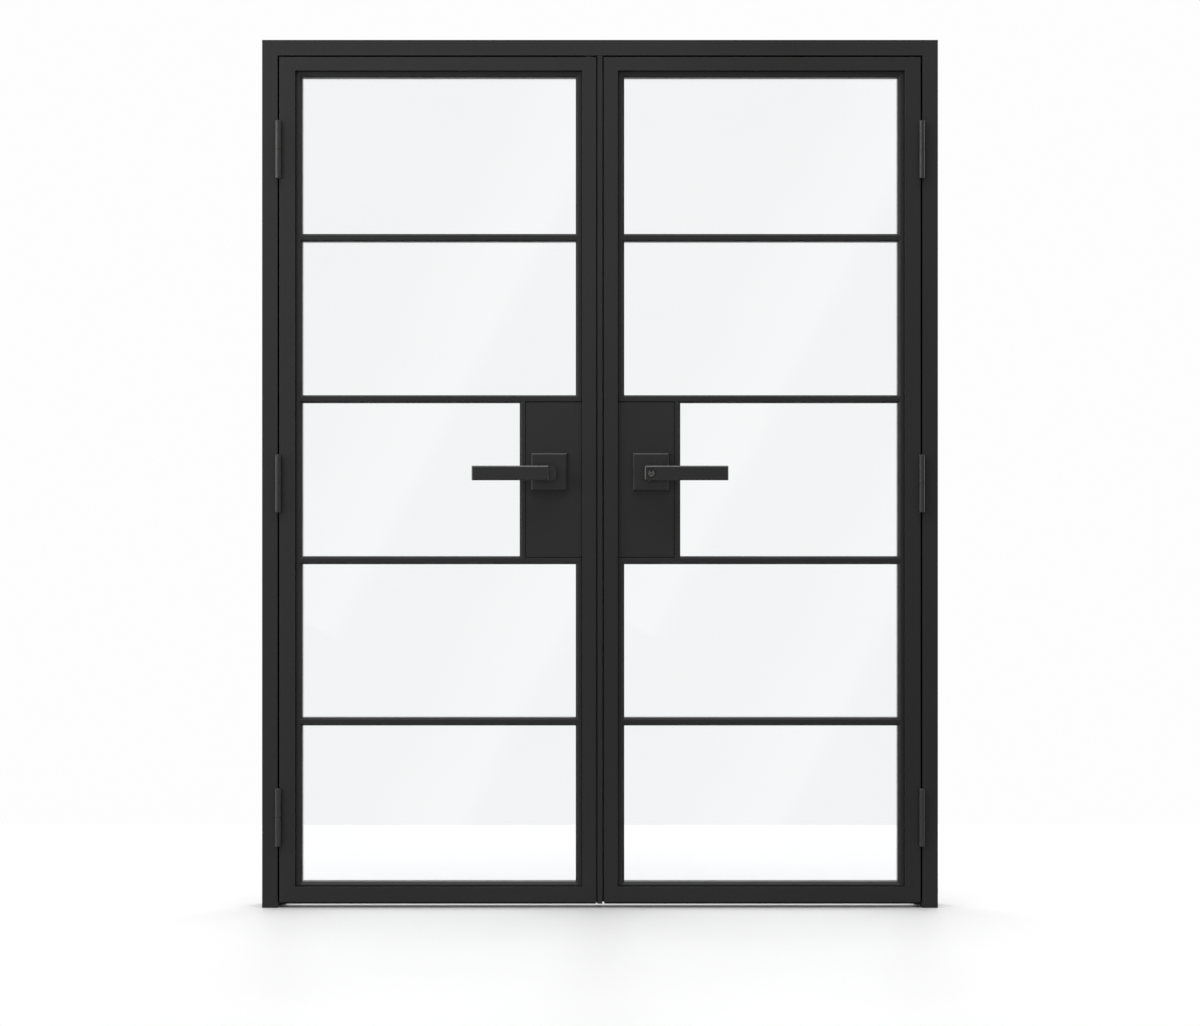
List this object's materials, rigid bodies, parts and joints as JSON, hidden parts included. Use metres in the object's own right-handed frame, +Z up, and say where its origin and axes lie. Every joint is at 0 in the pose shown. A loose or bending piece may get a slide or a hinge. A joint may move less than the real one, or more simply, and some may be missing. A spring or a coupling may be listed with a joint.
{
  "type": "double door in frame",
  "caption": "Pair of glazed steel doors in a slim frame, with horizontal glazing bars, box lock plates, lever handles and barrel hinges.",
  "frame": {"origin": "on the floor below the middle of the doorway, halfway through the thickness of the closed leaves", "axes": "+Z up, +X to the right seen from the front, +Y into the doorway: the leaves open towards -Y"},
  "size_m": [1.6, 0.163, 2.055],
  "materials": {
    "frame_coat": "satin black powder coat on steel",
    "leaf_coat": "satin black powder coat on steel",
    "bead_coat": "satin black powder coat on steel",
    "hardware_coat": "matt black lacquer on cast metal",
    "hinge_coat": "satin black powder coat on turned steel",
    "clear_glass": "clear toughened glass",
    "seal_rubber": "black rubber",
    "bright_steel": "plain steel",
    "washer_brass": "oil-darkened brass",
    "cylinder_steel": "blackened steel"
  },
  "bodies": {
    "frame": {"frame_head": "frame_coat", "frame_jamb_left": "frame_coat", "frame_jamb_right": "frame_coat", "frame_seals": "seal_rubber", "hinge_frame_knuckles": "hinge_coat", "hinge_pins": "bright_steel", "hinge_washers": "washer_brass", "head_keeper": "hardware_coat", "keeper_screws": "hardware_coat", "fixing_plugs": "seal_rubber"},
    "leaf_left": {"hinge_stile_left": "leaf_coat", "meeting_stile_left": "leaf_coat", "top_rail_left": "leaf_coat", "bottom_rail_left": "leaf_coat", "glazing_bars_left": "leaf_coat", "bar_caps_left": "bead_coat", "lock_box_left": "leaf_coat", "glass_panes_left": "clear_glass", "lock_light_glass_left": "clear_glass", "glazing_beads_left": "bead_coat", "gaskets_left": "seal_rubber", "setting_blocks_left": "seal_rubber", "bottom_sweep_left": "seal_rubber", "hinge_leaf_knuckles_left": "hinge_coat", "rosettes_left": "hardware_coat", "meeting_bar": "leaf_coat", "strike_plate": "hardware_coat", "bolt_case": "bright_steel"},
    "leaf_right": {"hinge_stile_right": "leaf_coat", "meeting_stile_right": "leaf_coat", "top_rail_right": "leaf_coat", "bottom_rail_right": "leaf_coat", "glazing_bars_right": "leaf_coat", "bar_caps_right": "bead_coat", "lock_box_right": "leaf_coat", "glass_panes_right": "clear_glass", "lock_light_glass_right": "clear_glass", "glazing_beads_right": "bead_coat", "gaskets_right": "seal_rubber", "setting_blocks_right": "seal_rubber", "bottom_sweep_right": "seal_rubber", "hinge_leaf_knuckles_right": "hinge_coat", "rosettes_right": "hardware_coat", "meeting_seal": "seal_rubber", "latch_faceplate": "hardware_coat", "latch_case": "bright_steel"},
    "lever_left": {"lever_front_left": "hardware_coat", "lever_back_left": "hardware_coat", "spindle_left": "bright_steel", "hub_left": "bright_steel"},
    "lever_right": {"lever_front_right": "hardware_coat", "lever_back_right": "hardware_coat", "spindle_right": "bright_steel", "hub_right": "bright_steel", "key_cylinder": "cylinder_steel"},
    "top_bolt": {"top_bolt": "bright_steel"},
    "latch": {"latch_bolt": "bright_steel"},
    "key_core": {"key_plug": "cylinder_steel", "tail_rod": "bright_steel", "turn_button": "hardware_coat"}
  },
  "joints": [
    {"name": "leaf_left_swing", "type": "hinge", "parent": "frame", "child": "leaf_left", "pos_m": [-0.7615, -0.0323, 0], "axis": [0, 0, -1], "range_deg": [0, 170]},
    {"name": "leaf_right_swing", "type": "hinge", "parent": "frame", "child": "leaf_right", "pos_m": [0.7615, -0.0323, 0], "axis": [0, 0, 1], "range_deg": [0, 170]},
    {"name": "lever_left_turn", "type": "hinge", "parent": "leaf_left", "child": "lever_left", "pos_m": [-0.1205, 0, 1.02975], "axis": [0, -1, 0], "range_deg": [0, 45], "stiffness_Nm_per_rad": 2, "springref_deg": -45.84},
    {"name": "lever_right_turn", "type": "hinge", "parent": "leaf_right", "child": "lever_right", "pos_m": [0.1205, 0, 1.02975], "axis": [0, 1, 0], "range_deg": [0, 45], "stiffness_Nm_per_rad": 2, "springref_deg": -45.84},
    {"name": "top_bolt_slide", "type": "slide", "parent": "leaf_left", "child": "top_bolt", "axis": [0, 0, -1], "range_m": [0, 0.015]},
    {"name": "latch_slide", "type": "slide", "parent": "leaf_right", "child": "latch", "axis": [1, 0, 0], "range_m": [0, 0.012]},
    {"name": "key_turn", "type": "hinge", "parent": "lever_right", "child": "key_core", "pos_m": [0.1205, 0, 1.02975], "axis": [0, 1, 0], "range_deg": [0, 90]}
  ],
  "couplings": [
    {"joint": "top_bolt_slide", "follows": "lever_left_turn", "m_per_rad": 0.01905},
    {"joint": "latch_slide", "follows": "lever_right_turn", "m_per_rad": 0.01525}
  ]
}
